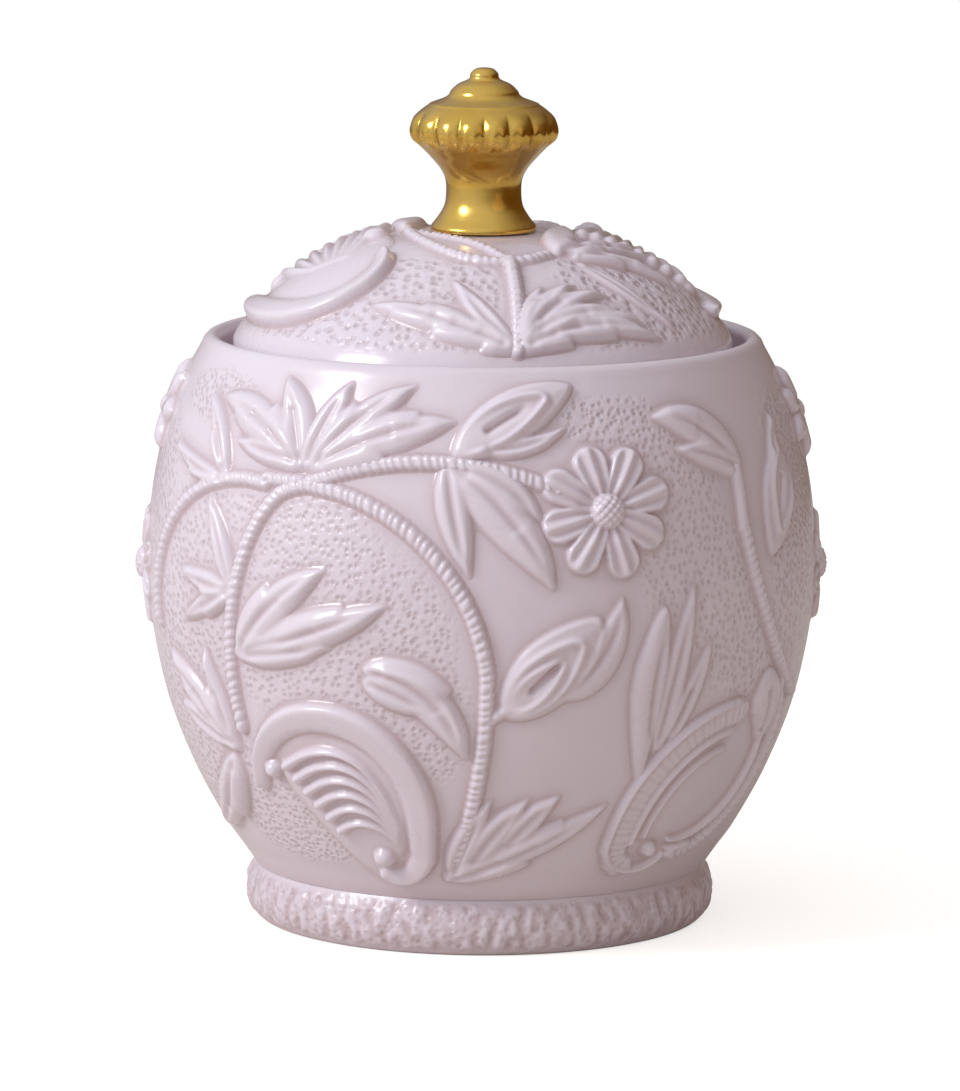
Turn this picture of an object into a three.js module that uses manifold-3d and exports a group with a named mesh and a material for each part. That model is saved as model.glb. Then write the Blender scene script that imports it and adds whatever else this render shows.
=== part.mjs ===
// Lidded porcelain powder jar with a gilt knob.
// Millimetres, +Z up. The origin is on the table, at the centre of the foot ring.
// Angles go round the jar from its front (-Y) towards +X, in degrees.

import * as THREE from 'three';
import Module from 'manifold-3d';
import { mergeVertices } from 'three/addons/utils/BufferGeometryUtils.js';
import { TessellateModifier } from 'three/addons/modifiers/TessellateModifier.js';

const wasm = await Module();
wasm.setup();

// ---------------------------------------------------------------- driving dimensions

const JOINT_GAP = 0.3;            // slip layer between two pieces that are luted together
const ROUND_SEGMENTS = 40;        // facets round the big turned pieces
const KNOB_SEGMENTS = 32;

// foot ring
const FOOT_BORE = 31;
const FOOT_HEIGHT = 8.7;
const FOOT_FLAT = [31.8, 35.0];   // inner and outer radius of the face that meets the table
const RECESS = 3.5;               // height of the bowl's underside inside the ring

// bowl
const WALL_THICKNESS = 3.6;
const WALL_INSIDE = [0.76, 0.17]; // stretch of the wall's curve that its inside follows, from the top down
const FLOOR_HEIGHT = 8.8;
const LIP_INNER_RADIUS = 42;
const SEAT_HEIGHT = 88.6;         // ledge that carries the lid
const SEAT_BORE = 36.6;
const SEAT_THICKNESS = 3.2;

// lid
const LID_RADIUS = 39.8;
const LID_THICKNESS = 3.3;
const LID_INSIDE = [0.98, 0.2];   // stretch of the dome's curve that its underside follows
const RIM_STEP = 0.5;             // the lid's rim is this much thicker than its dome
const RIM_TOP_DROP = 0.6;         // the rim's bore ends this far below the top of the edge
const LID_BOTTOM = SEAT_HEIGHT + JOINT_GAP;
const LID_EDGE_TOP = 93.2;
const LID_CROWN = 110.2;
const VENT_RADIUS = 1.5;          // lets air out of the hollow knob in the kiln
const FLANGE_DEPTH = 5.2;         // how far the locating ring reaches below the lid's rim
const FLANGE_THICKNESS = 2.6;
const FLANGE_TOP_DROP = 1.2;      // the ring ends this far below the top of the lid's edge

// knob
const KNOB_BORE = 3.4;
const KNOB_BORE_TOP = 122;
const KNOB_LOBES = 16;
const KNOB_LOBE_DEPTH = 0.35;
const KNOB_BORE_TAPER = 2.5;      // height of the cone that closes the bore
const KNOB_BELT = { height: 15.6, reach: 2.4 };

// applied relief
const REFERENCE_RADIUS = 52;      // the jar's relief is drawn on a flat sheet wrapped at this radius
const MM_PER_DEGREE = REFERENCE_RADIUS * Math.PI / 180;
const VINE_HALF_WIDTH = 1.05;
const RELIEF_EDGE = 1.1;          // thickness of a leaf at its outline
const RELIEF_CROWN = 2.1;         // thickness of a leaf in its middle
const CROWN_REACH = 2.5;          // distance from the outline at which the full thickness is met
const DRAWN_THICKNESS = 1;        // thickness of a flat outline before it is laid on
const LONGEST_EDGE = 7;           // facets no longer than this follow the curved wall closely
const EDGE_SPLITS = 8;            // most times that a facet is halved
const TABLE_STEPS = 240;          // samples along a surface's outline
const VINE_STEP = 6;              // distance between corners along a vine
const SCROLL_STEP = 4;            // and along a scroll
const ARC_STEP = 20;              // degrees between the points of an arc
const BOW_STEPS = 6;              // steps along a bowed line and a blade
const BLADE_ROOT = 0.6;           // half-width of a blade at its root
const BLADE_FULLEST = 0.365;      // makes a blade's widest place its full width

// ---------------------------------------------------------------- outlines of revolution

// Outside of the bowl, from the foot joint up to the lip: radius, height.
const WALL_POINTS = [
  [36.2, 9.0], [38.4, 12.2], [41.4, 16.5], [46.2, 25.5], [50.5, 37], [53.1, 50.5],
  [53.4, 60.5], [52.4, 71], [50.0, 81], [47.0, 88.2], [44.9, 92.2],
];

// Outside of the lid, from the top of its upright edge in to the flat crown: radius, height.
const DOME_POINTS = [
  [39.8, 93.2], [38.6, 95.4], [36.2, 98], [33.4, 100.6], [30.2, 103.1], [26.2, 105.6],
  [21.6, 107.9], [16.6, 109.5], [12, 110.1], [9, LID_CROWN],
];

// Outside of the knob, from its base up to the button: radius, height above the crown.
const KNOB_POINTS = [
  [8.4, 0], [8.2, 0.9], [7.2, 2.2], [6.3, 3.8], [6.0, 5.6], [6.1, 8.0], [7.0, 9.9], [8.8, 12.0],
  [10.6, 13.9], [11.5, 15.6], [11.3, 17.3], [10.2, 18.9], [8.6, 20.1], [6.2, 21.2], [5.5, 22.2],
  [3.9, 23.4], [2.5, 24.0], [2.4, 25.0], [1.5, 25.6], [0, 25.8],
];

function curveThrough(points) {
  return new THREE.SplineCurve(points.map(([r, z]) => new THREE.Vector2(r, z)));
}

// The same outline moved sideways by a distance, towards the axis for a positive one.
function offsetOutline(curve, distance, from, to, count) {
  const points = [];
  for (let i = 0; i <= count; i += 1) {
    const t = from + (to - from) * i / count;
    const at = curve.getPoint(t);
    const along = curve.getTangent(t);
    points.push([at.x - along.y * distance, at.y + along.x * distance]);
  }
  return points;
}

const wallCurve = curveThrough(WALL_POINTS);
const domeCurve = curveThrough(DOME_POINTS);

function turned(points, segments = ROUND_SEGMENTS) {
  const profile = points.map(([r, z]) => new THREE.Vector2(r, z));
  const geometry = new THREE.LatheGeometry(profile, segments);
  geometry.rotateX(Math.PI / 2);
  return welded(geometry);
}

function welded(geometry) {
  geometry.deleteAttribute('normal');
  geometry.deleteAttribute('uv');
  return mergeVertices(geometry, 1e-4);
}

// ---------------------------------------------------------------- materials

const porcelain = { color: 0xdfcfdb, roughness: 0.32, metalness: 0 };
const gilding = { color: 0xb98a2c, roughness: 0.22, metalness: 1 };

function piece(name, geometry, look = porcelain) {
  geometry.computeVertexNormals();
  const mesh = new THREE.Mesh(geometry, new THREE.MeshStandardMaterial(look));
  mesh.name = name;
  return mesh;
}

// ---------------------------------------------------------------- turned pieces

function footRing() {
  return turned([
    [FOOT_BORE, 0.8], [FOOT_FLAT[0], 0], [FOOT_FLAT[1], 0], [36.4, 1.0], [37.3, 2.9], [37.4, 4.9],
    [37.0, 6.9], [36.2, FOOT_HEIGHT], [FOOT_BORE, FOOT_HEIGHT], [FOOT_BORE, 0.8],
  ]);
}

function jarBody() {
  const boss = FOOT_BORE - JOINT_GAP;
  const outside = WALL_POINTS;
  const lip = [[43.9, 93.7], [42.8, 93.9], [42.1, 93.3], [LIP_INNER_RADIUS, 92.2]];
  const seat = [
    [LIP_INNER_RADIUS, SEAT_HEIGHT], [SEAT_BORE, SEAT_HEIGHT], [SEAT_BORE, SEAT_HEIGHT - SEAT_THICKNESS],
  ];
  const inside = offsetOutline(wallCurve, WALL_THICKNESS, ...WALL_INSIDE, 7);
  const floor = [[33.4, 13.4], [29, 10.3], [22, FLOOR_HEIGHT], [0, FLOOR_HEIGHT]];
  const underside = [[0, RECESS], [boss, RECESS], [boss, FOOT_HEIGHT + JOINT_GAP]];
  return turned([...underside, ...outside, ...lip, ...seat, ...inside, ...floor]);
}

const RIM_RADIUS = LID_RADIUS - LID_THICKNESS - RIM_STEP;

function lidDome() {
  const outside = [[LID_RADIUS, LID_BOTTOM], ...DOME_POINTS];
  const inside = offsetOutline(domeCurve, LID_THICKNESS, ...LID_INSIDE, 6);
  const rim = [
    [RIM_RADIUS, LID_EDGE_TOP - RIM_TOP_DROP], [RIM_RADIUS, LID_BOTTOM], [LID_RADIUS, LID_BOTTOM],
  ];
  const vent = [[VENT_RADIUS, LID_CROWN], [VENT_RADIUS, LID_CROWN - LID_THICKNESS]];
  return turned([...outside, ...vent, ...inside, ...rim]);
}

function lidFlange() {
  const outer = RIM_RADIUS - JOINT_GAP;
  const inner = outer - FLANGE_THICKNESS;
  const bottom = LID_BOTTOM - FLANGE_DEPTH;
  const top = LID_EDGE_TOP - FLANGE_TOP_DROP;
  return turned([[inner, bottom], [outer, bottom], [outer, top], [inner, top], [inner, bottom]]);
}

// The knob is hollow and open below. Soft lobes stand round its widest part.
function knob() {
  const base = LID_CROWN + JOINT_GAP;
  const outside = KNOB_POINTS.map(([r, z]) => [r, base + z]);
  const bore = [[0, KNOB_BORE_TOP], [KNOB_BORE, KNOB_BORE_TOP - KNOB_BORE_TAPER], [KNOB_BORE, base]];
  const geometry = turned([...bore, ...outside], KNOB_SEGMENTS);
  const place = geometry.getAttribute('position');
  const belt = base + KNOB_BELT.height;
  for (let i = 0; i < place.count; i += 1) {
    const radius = Math.hypot(place.getX(i), place.getY(i));
    if (radius > KNOB_BORE + 0.1) {
      const angle = Math.atan2(place.getY(i), place.getX(i));
      const nearBelt = Math.exp(-(((place.getZ(i) - belt) / KNOB_BELT.reach) ** 2));
      const swell = 1 + KNOB_LOBE_DEPTH * nearBelt * Math.cos(KNOB_LOBES * angle) / radius;
      place.setXY(i, place.getX(i) * swell, place.getY(i) * swell);
    }
  }
  return geometry;
}

// ---------------------------------------------------------------- relief drawn flat, then laid on

// A surface of revolution that a flat drawing is laid on. Each has at(x, y, lift), which takes
// a point of the drawing and its height off the surface, and gives the point in space.
function surfaceTable(curve) {
  const table = [];
  for (let i = 0; i <= TABLE_STEPS; i += 1) {
    const at = curve.getPoint(i / TABLE_STEPS);
    const along = curve.getTangent(i / TABLE_STEPS);
    table.push({ r: at.x, z: at.y, outR: Math.abs(along.y), outZ: -along.x * Math.sign(along.y) });
  }
  return table;
}

function lookUp(table, key, value) {
  const rising = table[table.length - 1][key] > table[0][key];
  let low = 0;
  let high = table.length - 1;
  while (high - low > 1) {
    const middle = Math.floor((low + high) / 2);
    const before = rising ? table[middle][key] <= value : table[middle][key] >= value;
    if (before) low = middle;
    else high = middle;
  }
  const span = table[high][key] - table[low][key];
  const t = span === 0 ? 0 : THREE.MathUtils.clamp((value - table[low][key]) / span, 0, 1);
  const mixed = {};
  for (const name of ['r', 'z', 'outR', 'outZ']) {
    mixed[name] = THREE.MathUtils.lerp(table[low][name], table[high][name], t);
  }
  return mixed;
}

const wallTable = surfaceTable(wallCurve);
const domeTable = surfaceTable(domeCurve);

// The wall's drawing is an upright sheet: x runs round the jar, y is the height.
const wall = {
  at(x, y, lift) {
    const spot = lookUp(wallTable, 'z', y);
    const angle = x / REFERENCE_RADIUS;
    const r = spot.r + spot.outR * lift;
    return new THREE.Vector3(r * Math.sin(angle), -r * Math.cos(angle), spot.z + spot.outZ * lift);
  },
};

// The lid's drawing is its plan, seen from above.
const dome = {
  at(x, y, lift) {
    const spot = lookUp(domeTable, 'r', Math.hypot(x, y));
    const angle = Math.atan2(y, x);
    const r = Math.hypot(x, y) + spot.outR * lift;
    return new THREE.Vector3(r * Math.cos(angle), r * Math.sin(angle), spot.z + spot.outZ * lift);
  },
};

const onWall = (points) => points.map(([angle, height]) => new THREE.Vector2(angle * MM_PER_DEGREE, height));
const onDome = (points) => points.map(([x, y]) => new THREE.Vector2(x, y));

// A band along a smooth route. Half-widths are given at even steps from its start to its end.
function band(route, halfWidths, step) {
  const curve = new THREE.SplineCurve(route);
  const count = Math.max(3, Math.round(curve.getLength() / step));
  const widths = new THREE.SplineCurve(halfWidths.map((w, i) => new THREE.Vector2(i, w)));
  const left = [];
  const right = [];
  for (let i = 0; i <= count; i += 1) {
    const at = curve.getPointAt(i / count);
    const along = curve.getTangentAt(i / count);
    const half = widths.getPoint(i / count).y;
    left.push(new THREE.Vector2(at.x - along.y * half, at.y + along.x * half));
    right.push(new THREE.Vector2(at.x + along.y * half, at.y - along.x * half));
  }
  return [...left, ...right.reverse()];
}

const vine = (route) => band(route, [VINE_HALF_WIDTH, VINE_HALF_WIDTH], VINE_STEP);
const scroll = (route, halfWidths) => band(route, halfWidths, SCROLL_STEP);

// A flower of rounded petals.
function flowerOutline(centre, outerRadius, notchRadius, petals) {
  const points = [];
  const count = petals * PETAL_CORNERS;
  for (let i = 0; i < count; i += 1) {
    const angle = 2 * Math.PI * i / count;
    const open = Math.sqrt(Math.abs(Math.sin(petals * angle / 2)));
    const radius = notchRadius + (outerRadius - notchRadius) * open;
    points.push(new THREE.Vector2(centre.x + radius * Math.cos(angle), centre.y + radius * Math.sin(angle)));
  }
  return points;
}

function distanceToOutlines(x, y, outlines) {
  const point = new THREE.Vector3(x, y, 0);
  const nearest = new THREE.Vector3();
  const edge = new THREE.Line3();
  let best = Infinity;
  for (const outline of outlines) {
    outline.forEach((corner, i) => {
      const next = outline[(i + 1) % outline.length];
      edge.start.set(corner.x, corner.y, 0);
      edge.end.set(next.x, next.y, 0);
      edge.closestPointToPoint(point, true, nearest);
      best = Math.min(best, nearest.distanceTo(point));
    });
  }
  return best;
}

function toSolid(geometry) {
  const flat = welded(geometry);
  return new wasm.Manifold(new wasm.Mesh({
    numProp: 3,
    vertProperties: new Float32Array(flat.getAttribute('position').array),
    triVerts: new Uint32Array(flat.getIndex().array),
  }));
}

function fromSolid(solid) {
  const mesh = solid.getMesh();
  const geometry = new THREE.BufferGeometry();
  geometry.setAttribute('position', new THREE.BufferAttribute(mesh.vertProperties, mesh.numProp));
  geometry.setIndex(new THREE.BufferAttribute(mesh.triVerts, 1));
  return geometry;
}

// Outlines that touch are joined flat, cut into small facets, laid on the surface and crowned.
function sprig(surface, outlines, extraLift = () => 0) {
  const drawn = { depth: DRAWN_THICKNESS, bevelEnabled: false, steps: 1 };
  const slabs = outlines.map((outline) => toSolid(new THREE.ExtrudeGeometry(new THREE.Shape(outline), drawn)));
  const joined = fromSolid(slabs.reduce((all, slab) => all.add(slab)));
  const fine = new TessellateModifier(LONGEST_EDGE, EDGE_SPLITS).modify(joined.toNonIndexed());
  const place = fine.getAttribute('position');
  const laid = new THREE.Vector3();
  for (let i = 0; i < place.count; i += 1) {
    const x = place.getX(i);
    const y = place.getY(i);
    const onTop = place.getZ(i) > DRAWN_THICKNESS / 2;
    const inward = Math.min(1, distanceToOutlines(x, y, outlines) / CROWN_REACH);
    const top = RELIEF_EDGE + (RELIEF_CROWN - RELIEF_EDGE) * inward + extraLift(x, y);
    laid.copy(surface.at(x, y, onTop ? top : JOINT_GAP));
    place.setXYZ(i, laid.x, laid.y, laid.z);
  }
  return welded(fine);
}

// ---------------------------------------------------------------- lines of the ornament

// Part of an ellipse. Angles are in degrees, anticlockwise from the right.
function arc([middleX, middleY], [radiusX, radiusY], from, to) {
  const count = Math.max(3, Math.round(Math.abs(to - from) / ARC_STEP));
  return Array.from({ length: count + 1 }, (_, i) => {
    const angle = THREE.MathUtils.degToRad(from + (to - from) * i / count);
    return [middleX + radiusX * Math.cos(angle), middleY + radiusY * Math.sin(angle)];
  });
}

// A line from one point to another that bows out to its left.
function bowed([startX, startY], [endX, endY], bow) {
  const length = Math.hypot(endX - startX, endY - startY);
  return Array.from({ length: BOW_STEPS + 1 }, (_, i) => {
    const t = i / BOW_STEPS;
    const out = 4 * t * (1 - t) * bow / length;
    return [
      startX + (endX - startX) * t - (endY - startY) * out,
      startY + (endY - startY) * t + (endX - startX) * out,
    ];
  });
}

// A leaf blade, from a narrow root to a point. width is its half-width.
function blade([root, tip, width, bow = 0], onSurface) {
  const [start, end] = onSurface([root, tip]);
  const line = bowed([start.x, start.y], [end.x, end.y], bow);
  const along = new THREE.Vector2().subVectors(end, start).normalize();
  const left = [];
  const right = [];
  line.forEach(([x, y], i) => {
    const t = i / BOW_STEPS;
    const half = i === 0 ? BLADE_ROOT : width * t ** 0.7 * (1 - t) ** 0.75 / BLADE_FULLEST;
    if (i < BOW_STEPS) {
      left.push(new THREE.Vector2(x - along.y * half, y + along.x * half));
      right.push(new THREE.Vector2(x + along.y * half, y - along.x * half));
    }
  });
  return [...left, end, ...right.reverse()];
}

// Blades that spread evenly round a middle, all of one length.
function ring([middleX, middleY], [radiusX, radiusY], width, count) {
  return Array.from({ length: count }, (_, i) => {
    const turn = 2 * Math.PI * i / count;
    return [
      [middleX, middleY],
      [middleX + radiusX * Math.cos(turn), middleY + radiusY * Math.sin(turn)], width,
    ];
  });
}

// ---------------------------------------------------------------- relief of the jar

// Places on the jar are an angle from the front and a height.
const VINE_LOOP = [
  ...arc([-16, 45], [17, 37], -42, 0), ...arc([-32, 45], [33, 30], 15, 90),
  ...arc([-32, 42], [15.5, 33], 105, 180),
];
const VINE_TOP_RIGHT = bowed([-25, 78], [9, 76], 2.5);
const VINE_TOP_LEFT = arc([-44, 52], [28, 23], 82, 175);
const VINE_RIGHT = [...bowed([51, 75], [51, 66], 0), ...bowed([53, 60], [73, 40], -1.5)];

// Each blade has its root, its tip, its half-width and how far it bows to the left.
const JAR_BLADES = {
  leaf_top_centre: [
    [[-30, 80], [-5, 86], 2.4, 1.5], [[-30, 80], [-12, 90], 2.2, 1.5], [[-31, 80], [-26, 91], 1.8],
  ],
  leaf_top_mid: [
    [[-34, 79], [-56, 87], 3, -1.5], [[-34, 79], [-41, 91], 2.8, -1], [[-35, 79], [-49, 81], 1.2],
  ],
  leaf_hanging: [
    [[-5, 77], [-2, 63], 2], [[-5, 77], [12, 61], 3.4, 1.5], [[-1, 75], [9, 71], 1.6],
  ],
  leaf_inner_left: [
    [[-43, 49], [-18, 58], 3.2, -1], [[-43, 49], [-28, 62], 2.8, 1.5], [[-42, 49], [-26, 51], 1.4],
  ],
  leaf_inner_small: [[[-20, 47], [-4, 34], 2.8, 3.5], [[-19, 46], [-7, 43], 2.2]],
  leaf_bottom: [
    [[0, 15], [24, 25], 2.8, -1], [[0, 15], [4, 26], 2, 0.5], [[2, 17], [9, 26], 2.2, 1],
    [[7, 20], [15, 27], 2],
  ],
  leaf_left_pair: [
    [[-48, 58], [-54, 71], 1.6], [[-48, 58], [-61, 60], 1.9], [[-48, 58], [-60, 52], 1.9],
  ],
  leaf_left_low: [
    [[-51, 33], [-55, 47], 1.9], [[-51, 33], [-67, 46], 2.6], [[-51, 33], [-66, 38], 2],
    [[-51, 33], [-68, 18], 3, 3],
  ],
  leaf_right_spray: [
    [[31, 34], [32, 56], 3.2, 0.5], [[34, 36], [38, 58], 1.8], [[35, 37], [42, 51], 1.6],
  ],
  leaf_right_top: [[[50, 79], [33, 86], 3.4, -0.5], [[49, 80], [38, 80], 1.6]],
  leaf_side_cluster: ring([89, 82], [9, 6.6], 2, 6),
  bud_top: [[[-3, 82], [16, 91], 3.6, -0.5], [[-1, 82], [15, 85], 1.6]],
  bud_right: [[[4, 41], [19, 55], 5, 0], [[10, 44], [23, 58], 3.2, -1.5]],
  bud_right_edge: [[[65, 79], [59, 64], 4.8]],
};

const DAISIES = {
  daisy: { centre: [21, 72], radius: 10.2 },
  daisy_side: { centre: [-88, 57], radius: 9.4 },
};
const DAISY_PETALS = 8;
const PETAL_CORNERS = 6;
const DAISY_NOTCH = 0.72;         // depth of the notches between petals, as a share of the radius
const DAISY_DISC = 3.2;           // radius of the domed disc
const DISC_LIFT = 0.7;

// Each scroll is a roll that ends in a tighter curl, with a panel inside its bend.
const SCROLL_LEFT = [...arc([-28.5, 23], [15.5, 14], 152, 0), ...arc([-18.5, 20], [5.5, 5.5], -30, -90)];
const SHELL_LEFT = arc([-27, 24], [11.5, 10.5], 160, -75);
const SCROLL_RIGHT = [...arc([53, 19], [22, 17.5], 95, 180), ...arc([35.5, 18.5], [4.5, 4], 195, 250)];
const PANEL_RIGHT = [...arc([53, 19], [19, 16], 100, 175), ...arc([45, 30], [14, 13.5], 265, 385)];

function daisy({ centre, radius }) {
  const [middle] = onWall([centre]);
  const petals = flowerOutline(middle, radius, radius * DAISY_NOTCH, DAISY_PETALS);
  const discLift = (x, y) => (Math.hypot(x - middle.x, y - middle.y) < DAISY_DISC ? DISC_LIFT : 0);
  return sprig(wall, [petals], discLift);
}

function jarSprigs() {
  const shapes = {
    vine_loop: sprig(wall, [vine(onWall(VINE_LOOP))]),
    vine_top_right: sprig(wall, [vine(onWall(VINE_TOP_RIGHT))]),
    vine_top_left: sprig(wall, [vine(onWall(VINE_TOP_LEFT)), blade([[-51, 75], [-60, 86], 1.8], onWall),
      blade([[-51, 75], [-68, 79], 1.4], onWall)]),
    vine_right: sprig(wall, [vine(onWall(VINE_RIGHT))]),
    scroll_left: sprig(wall, [scroll(onWall(SCROLL_LEFT), [2.2, 2.4, 2.2]), onWall(SHELL_LEFT)]),
    scroll_right: sprig(wall, [scroll(onWall(SCROLL_RIGHT), [1.8, 2.2, 2]), onWall(PANEL_RIGHT)]),
  };
  for (const [name, blades] of Object.entries(JAR_BLADES)) {
    shapes[name] = sprig(wall, blades.map((one) => blade(one, onWall)));
  }
  for (const [name, flower] of Object.entries(DAISIES)) {
    shapes[name] = daisy(flower);
  }
  return shapes;
}

// ---------------------------------------------------------------- relief of the lid

// Places on the lid are in plan: x to the right, y away from the front.
const LID_VINE_ACROSS = arc([2, 2], [14, 23.5], 200, 292);
const LID_VINE_DOWN = bowed([4, -22], [5, -33], 0.3);
const LID_VINE_RIM = bowed([-11, -4], [3, -21], 0);
const LID_SCROLL = [...arc([-21, 1], [14.5, 22.5], 180, 270), ...arc([-20, -16.5], [4, 5.5], 290, 340)];
const LID_SHELL = arc([-24.5, -9.5], [9.5, 9], 0, 345);
const LID_BLADES = {
  lid_leaf_left: [[[3, -37], [-4, -27], 1.4, 0.5], [[3, -37], [-17, -28], 2.8, 1]],
  lid_leaf_right: [
    [[7, -37], [9, -27], 1.6], [[7, -37], [16, -24], 2.2, 1], [[7, -37], [27, -26], 3, 1],
  ],
  lid_bud: [
    [[12, -16], [12, -1], 2.4], [[12, -16], [24, -4], 2.6], [[12, -16], [30, -9], 1.8, 1],
    [[18, -10], [27, -1], 2],
  ],
};

function lidSprigs() {
  const shapes = {
    lid_vine: sprig(dome, [LID_VINE_ACROSS, LID_VINE_DOWN, LID_VINE_RIM].map((line) => vine(onDome(line)))),
    lid_scroll: sprig(dome, [scroll(onDome(LID_SCROLL), [1.8, 2.5, 1.8]), onDome(LID_SHELL)]),
  };
  for (const [name, blades] of Object.entries(LID_BLADES)) {
    shapes[name] = sprig(dome, blades.map((one) => blade(one, onDome)));
  }
  return shapes;
}

// ---------------------------------------------------------------- assembly

// The design stands twice round the jar and the lid: once in front and once, turned half way, behind.
function placeTwice(group, shapes) {
  for (const [name, geometry] of Object.entries(shapes)) {
    const front = piece(`${name}_front`, geometry);
    const back = piece(`${name}_back`, geometry.clone());
    back.rotation.z = Math.PI;
    group.add(front, back);
  }
}

const jar = new THREE.Group();
jar.add(piece('jar_body', jarBody()), piece('foot_ring', footRing()));
placeTwice(jar, jarSprigs());

const lid = new THREE.Group();
lid.add(piece('lid_dome', lidDome()), piece('lid_flange', lidFlange()), piece('knob', knob(), gilding));
placeTwice(lid, lidSprigs());

const powderJar = new THREE.Group();
powderJar.add(jar, lid);

export default powderJar;
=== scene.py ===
import math

import bpy
import numpy as np
from mathutils import Matrix, Vector


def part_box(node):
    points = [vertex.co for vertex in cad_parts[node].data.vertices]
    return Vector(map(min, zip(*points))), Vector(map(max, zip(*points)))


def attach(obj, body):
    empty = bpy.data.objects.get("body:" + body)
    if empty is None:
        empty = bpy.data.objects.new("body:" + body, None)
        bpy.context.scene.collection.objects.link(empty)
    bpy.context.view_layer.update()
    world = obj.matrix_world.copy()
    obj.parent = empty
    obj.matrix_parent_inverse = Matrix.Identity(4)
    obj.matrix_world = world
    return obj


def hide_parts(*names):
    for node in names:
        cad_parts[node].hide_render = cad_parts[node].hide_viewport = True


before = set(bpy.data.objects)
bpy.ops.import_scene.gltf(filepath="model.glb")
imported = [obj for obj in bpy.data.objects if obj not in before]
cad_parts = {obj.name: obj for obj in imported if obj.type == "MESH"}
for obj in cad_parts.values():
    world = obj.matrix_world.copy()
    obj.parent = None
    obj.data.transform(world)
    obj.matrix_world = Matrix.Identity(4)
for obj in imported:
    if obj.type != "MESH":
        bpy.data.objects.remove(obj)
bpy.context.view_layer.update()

# Shapes are drawn in millimetres and turned into metres when a mesh is made.
MM = 0.001


def corners(name):
    """A CAD node's lowest and highest corners, in millimetres."""
    return [[round(value / MM, 2) for value in corner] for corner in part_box(name)]


(_, _, LID_BOTTOM), (LID_RADIUS, _, _) = corners("lid_dome")
(_, _, FLANGE_BOTTOM), (FLANGE_RADIUS, _, FLANGE_TOP) = corners("lid_flange")
KNOB_BASE = corners("knob")[0][2]

# Lines of revolution as (radius, height).
WALL_POINTS = [
    (36.2, 9), (38.4, 12.2), (41.4, 16.5), (46.2, 25.5), (50.5, 37), (53.1, 50.5), (53.4, 60.5),
    (52.4, 71), (50, 81), (47, 88.2), (44.9, 92.2)]
LIP_POINTS = [(44.9, 92.2), (44.5, 93.1), (43.9, 93.7), (43.3, 93.95), (42.8, 93.9), (42.3, 93.6),
              (42.05, 93), (42, 92.2)]
SEAT_POINTS = [(42, 88.8), (41.8, 88.6), (36.8, 88.6), (36.6, 88.4), (36.6, 85.6), (36.8, 85.4)]
BOWL_FLOOR = [(33.4, 13.4), (29, 10.3), (22, 8.8), (0.01, 8.8)]
UNDERSIDE = [(0.01, 3.5), (30.4, 3.5), (30.7, 3.8), (30.7, 9)]
WALL_THICKNESS = 3.6
INSIDE_LOW = 14.5  # the bowl's inside follows its outside between these heights
INSIDE_HIGH = 84.5
DOME_POINTS = [
    (39.8, 93.2), (38.6, 95.4), (36.2, 98), (33.4, 100.6), (30.2, 103.1), (26.2, 105.6), (21.6, 107.9),
    (16.6, 109.5), (12, 110.1), (9, 110.2), (1.6, 110.25)]
LID_EDGE = [(LID_RADIUS - 0.6, LID_BOTTOM), (LID_RADIUS - 0.1, LID_BOTTOM + 0.5),
            (LID_RADIUS, LID_BOTTOM + 1.3)]
LID_THICKNESS = 3.3
RIM_BORE = 36  # radius inside the lid's upright edge
VENT_RADIUS = 1.5
FLANGE_THICKNESS = 2.6
FLANGE_CHAMFER = 0.5
FOOT_BORE = 31
FOOT_OUTSIDE = [(31.8, 0), (35, 0), (36.4, 1), (37.3, 2.9), (37.4, 4.9), (37, 6.9), (36.3, 8.5),
                (35.9, 9.3)]
KNOB_BORE = 3.4
KNOB_BORE_TOP = 122
# The knob's heights are above its base.
KNOB_POINTS = [
    (8.4, 0), (8.4, 0.5), (8.2, 0.9), (7.2, 2.2), (6.3, 3.8), (6, 5.6), (6.1, 8), (7, 9.9), (8.8, 12),
    (10.6, 13.9), (11.5, 15.6), (11.3, 17.3), (10.2, 18.9), (8.9, 19.9), (8.5, 20.2), (6.4, 21),
    (5.6, 21.6), (5.3, 22.2), (4.2, 23.2), (2.7, 23.9), (2.3, 24.3), (2.2, 24.9), (1.5, 25.6),
    (0.7, 25.8), (0.01, 25.8)]

# How fine the meshes are.
PROFILE_STEP = 0.25  # between points along the wall's and the dome's lines
STROKE_STEP = 0.4  # and along a line of relief
GRID = 0.23  # spacing of a sprig's height field
FINE_GRID = 0.15  # and of a daisy's
SEGMENTS = 512  # points round the bowl and the lid
FLANGE_SEGMENTS = 256
FOOT_SEGMENTS = 720
KNOB_SEGMENTS = 384

# How the relief stands on the ground.
REFERENCE_RADIUS = 52.0  # of the sheet that the wall's relief is drawn on
FOOT_RADIUS = 37.0  # of the one for the foot's pits
MARGIN = 6.5  # room left round a sprig in its height field
EMPTY = -3.0  # height of a field before anything is drawn
FIELD_FLOOR = -0.6  # lowest height kept when a field is softened
MESH_FLOOR = -0.3  # and when it is made into a mesh
PROUD = 0.66  # share of its given height that a form stands proud
EDGE = 0.2  # height of a form at its outline
VALLEY = 0.012  # how softly two forms meet
FILLET = 0.9  # width of the fillet round a form
TUCK = 0.03  # how far below the ground a fillet ends
SUNK = -0.85  # height of a sprig's underside
BEAD = 1.35  # length of one bead of a vine
LOBE_DEPTH = 0.3  # how far a leaf's edge is notched, as a share of its half-width
LOBE_STARTS = (0.0, 0.45)  # the lobes on a leaf's two edges are staggered
KNOB_LOBES = 16


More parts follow.
